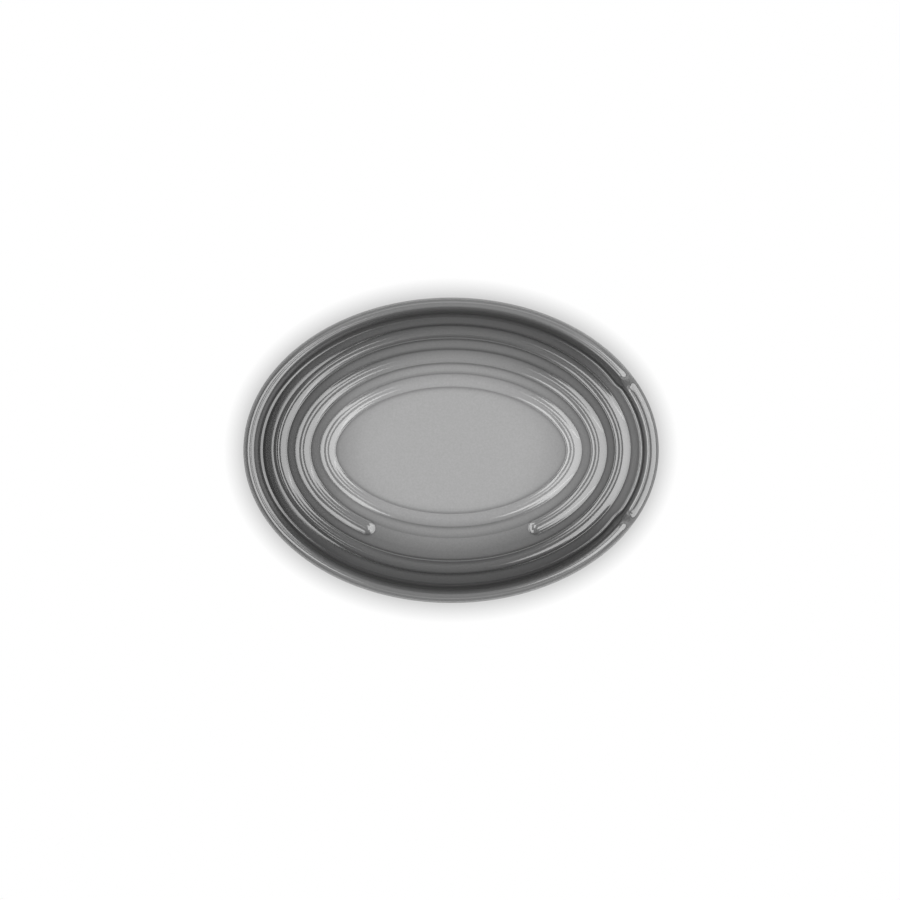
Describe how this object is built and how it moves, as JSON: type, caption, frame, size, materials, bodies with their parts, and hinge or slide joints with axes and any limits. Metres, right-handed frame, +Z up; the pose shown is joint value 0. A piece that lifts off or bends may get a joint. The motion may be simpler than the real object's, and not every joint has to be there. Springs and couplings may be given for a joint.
{
  "type": "spoon rest",
  "caption": "Oval glazed stoneware spoon rest: raised rim with a lowered lip for the handle, concentric raised rings round a level well, and a foot ring.",
  "frame": {"origin": "centre of the oval outline, on the table plane under the foot ring", "axes": "+Z up out of the dish, +X along its length towards the lowered lip for the handle, +Y across it, away from the gap in the middle ring"},
  "size_m": [0.153, 0.1124, 0.022],
  "materials": {
    "glaze": "gloss"
  },
  "bodies": {
    "root": {"dish": "glaze"}
  },
  "joints": []
}
